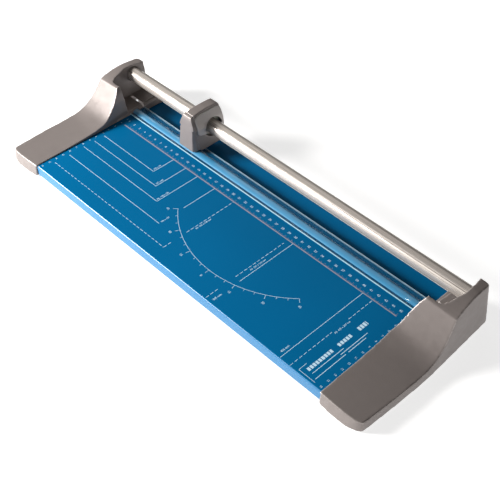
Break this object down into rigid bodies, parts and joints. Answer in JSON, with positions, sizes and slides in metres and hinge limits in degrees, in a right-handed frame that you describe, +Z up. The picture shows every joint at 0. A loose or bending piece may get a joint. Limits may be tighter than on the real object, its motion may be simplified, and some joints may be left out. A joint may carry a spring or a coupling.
{
  "type": "rotary paper trimmer",
  "caption": "Desktop rotary paper trimmer: folded steel table between two end caps, guide rail, sliding cutting head with round blade, clear clamp strip.",
  "frame": {"origin": "centre of the footprint, on the desk under the rubber feet", "axes": "+X along the rail towards the right end cap as seen by the user, +Y from the user towards the rear, +Z up"},
  "size_m": [0.5728, 0.2044, 0.0696],
  "materials": {
    "blue_paint": "semi-gloss powder-smooth paint",
    "grey_plastic": "fine moulded grain, satin",
    "rail_aluminium": "drawn and satin anodised",
    "clear_plastic": "clear, polished",
    "black_rubber": "matt moulded",
    "roller_rubber": "matt ground",
    "ground_steel": "hardened and ground",
    "white_nylon": "natural nylon",
    "zinc_steel": "bright zinc"
  },
  "bodies": {
    "base": {"table_plate": "blue_paint", "rear_channel": "blue_paint", "counter_blade": "ground_steel", "counter_blade_screw_1": "zinc_steel", "counter_blade_screw_2": "zinc_steel", "counter_blade_screw_3": "zinc_steel", "counter_blade_screw_4": "zinc_steel", "base_rivet_1": "zinc_steel", "base_rivet_2": "zinc_steel", "base_rivet_3": "zinc_steel", "left_end_cap": "grey_plastic", "right_end_cap": "grey_plastic", "left_front_foot": "black_rubber", "right_front_foot": "black_rubber", "left_rear_foot": "black_rubber", "right_rear_foot": "black_rubber", "left_rail_screw": "zinc_steel", "right_rail_screw": "zinc_steel", "left_cap_nut_1": "zinc_steel", "right_cap_nut_1": "zinc_steel", "left_cap_nut_2": "zinc_steel", "right_cap_nut_2": "zinc_steel", "left_cap_nut_3": "zinc_steel", "right_cap_nut_3": "zinc_steel", "guide_rail": "rail_aluminium", "left_clamp_spring": "zinc_steel", "right_clamp_spring": "zinc_steel"},
    "clamp": {"clamp_strip": "clear_plastic"},
    "head": {"head_housing": "grey_plastic", "head_front_cover": "grey_plastic", "left_glide_bush": "white_nylon", "right_glide_bush": "white_nylon", "blade_axle": "zinc_steel", "blade_spring": "zinc_steel", "blade_washer": "zinc_steel", "axle_nut": "zinc_steel", "left_roller_pin": "zinc_steel", "right_roller_pin": "zinc_steel", "left_cover_screw": "zinc_steel", "right_cover_screw": "zinc_steel"},
    "blade": {"round_blade": "ground_steel", "blade_hub": "white_nylon"},
    "roller_left": {"left_press_roller": "roller_rubber"},
    "roller_right": {"right_press_roller": "roller_rubber"}
  },
  "joints": [
    {"name": "head_slide", "type": "slide", "parent": "base", "child": "head", "axis": [1, 0, 0], "range_m": [-0.118, 0.3735]},
    {"name": "clamp_press", "type": "slide", "parent": "base", "child": "clamp", "axis": [0, 0, -1], "range_m": [0, 0.0009], "stiffness_N_per_m": 600, "springref_m": -0.0012, "deforming": ["left_clamp_spring", "right_clamp_spring"]},
    {"name": "blade_spin", "type": "hinge", "parent": "head", "child": "blade", "pos_m": [-0.12775, 0.07085, 0.0255], "axis": [0, 1, 0], "continuous": true},
    {"name": "roller_left_spin", "type": "hinge", "parent": "head", "child": "roller_left", "pos_m": [-0.13615, 0.06365, 0.0225], "axis": [0, 1, 0], "continuous": true},
    {"name": "roller_right_spin", "type": "hinge", "parent": "head", "child": "roller_right", "pos_m": [-0.11935, 0.06365, 0.0225], "axis": [0, 1, 0], "continuous": true}
  ],
  "couplings": [
    {"joint": "blade_spin", "follows": "head_slide", "rad_per_m": 105.26},
    {"joint": "roller_left_spin", "follows": "head_slide", "rad_per_m": 263.16},
    {"joint": "roller_right_spin", "follows": "head_slide", "rad_per_m": 263.16}
  ]
}
